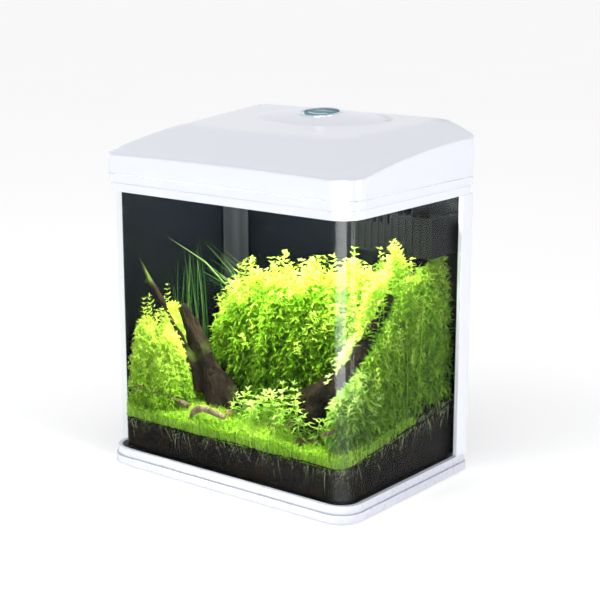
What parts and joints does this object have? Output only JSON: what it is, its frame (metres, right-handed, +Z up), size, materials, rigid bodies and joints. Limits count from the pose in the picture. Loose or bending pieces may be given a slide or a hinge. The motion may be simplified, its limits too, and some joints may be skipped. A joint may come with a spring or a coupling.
{
  "type": "aquarium",
  "caption": "Small desktop planted aquarium: bent-glass tank on a low plinth base, with a hinged domed hood that holds the lamp and a rear corner filter.",
  "frame": {"origin": "centre of the footprint on the plane that the feet stand on", "axes": "+X to the right seen from the front, -Y out of the front glass, +Z up"},
  "size_m": [0.23, 0.158, 0.2679],
  "materials": {
    "white_plastic": "gloss moulded white",
    "rubber_pad": "matt",
    "foam_pad": "closed-cell foam",
    "tank_glass": "clear polished",
    "backing_film": "satin dark blue-black film",
    "silicone": "clear silicone",
    "black_plastic": "satin moulded black",
    "steel": "brushed",
    "ceramic": "porous ceramic",
    "sponge": "open-cell foam",
    "floss": "white fibre wool",
    "soil": "wet dark planting soil",
    "driftwood": "wet dark driftwood",
    "stone": "rough brown stone",
    "leaf": "bright yellow-green leaf",
    "reed": "thin dark green leaf",
    "badge_teal": "gloss teal disc",
    "badge_chrome": "polished pale ring",
    "circuit": "green circuit board",
    "led": "white LED package",
    "diffuser": "frosted translucent",
    "wire": "PVC wire",
    "clear_cup": "soft clear rubber"
  },
  "bodies": {
    "tank": {"base_tray": "white_plastic", "foot_pads": "rubber_pad", "base_pad": "foam_pad", "bottom_glass": "tank_glass", "bent_glass": "tank_glass", "rear_glass": "tank_glass", "rear_background": "backing_film", "side_background": "backing_film", "glass_seams": "silicone", "corner_post_left": "white_plastic", "corner_post_right": "white_plastic", "top_rim": "white_plastic", "hinge_pins": "steel", "filter_cabinet": "black_plastic", "pump_housing": "black_plastic", "pump_cover": "black_plastic", "impeller_shaft": "ceramic", "pump_feet": "clear_cup", "outlet_tube": "black_plastic", "soil_bed": "soil", "driftwood_left": "driftwood", "driftwood_right": "driftwood", "wood_twigs": "driftwood", "stones": "stone", "carpet_plants": "leaf", "left_plants": "leaf", "rear_plants": "leaf", "right_plants": "leaf", "reed_plants": "reed"},
    "lid": {"hood_shell": "white_plastic", "badge_ring": "badge_chrome", "badge_plate": "badge_teal", "lamp_tray": "white_plastic", "led_board": "circuit", "led_chips": "led", "lamp_lens": "diffuser", "tray_screws": "steel", "hinge_knuckles": "white_plastic", "hinge_screws": "steel", "power_socket": "black_plastic", "switch_body": "black_plastic", "lamp_wires": "wire"},
    "impeller": {"pump_impeller": "black_plastic"},
    "flow_dial": {"flow_dial": "black_plastic"},
    "nozzle": {"outlet_nozzle": "black_plastic"},
    "basket": {"media_basket": "black_plastic", "filter_sponge": "sponge", "filter_floss": "floss", "ceramic_media": "ceramic"},
    "rocker": {"switch_rocker": "black_plastic"}
  },
  "joints": [
    {"name": "lid_hinge", "type": "hinge", "parent": "tank", "child": "lid", "pos_m": [0, 0.0735, 0.2315], "axis": [-1, 0, 0], "range_deg": [0, 95]},
    {"name": "impeller_spin", "type": "hinge", "parent": "tank", "child": "impeller", "pos_m": [0.092, 0.05, 0.183], "axis": [0, 1, 0], "continuous": true},
    {"name": "flow_dial_turn", "type": "hinge", "parent": "tank", "child": "flow_dial", "pos_m": [0.092, 0.0385, 0.183], "axis": [0, 1, 0], "range_deg": [0, 90]},
    {"name": "nozzle_swivel", "type": "hinge", "parent": "tank", "child": "nozzle", "pos_m": [0.092, 0.043, 0.1985], "axis": [0, 0, 1], "range_deg": [-30, 25]},
    {"name": "basket_lift", "type": "slide", "parent": "tank", "child": "basket", "axis": [0, 0, 1], "range_m": [0, 0.018]},
    {"name": "light_switch", "type": "hinge", "parent": "lid", "child": "rocker", "pos_m": [0.014, 0.073, 0.246], "axis": [1, 0, 0], "range_deg": [0, 16]}
  ]
}
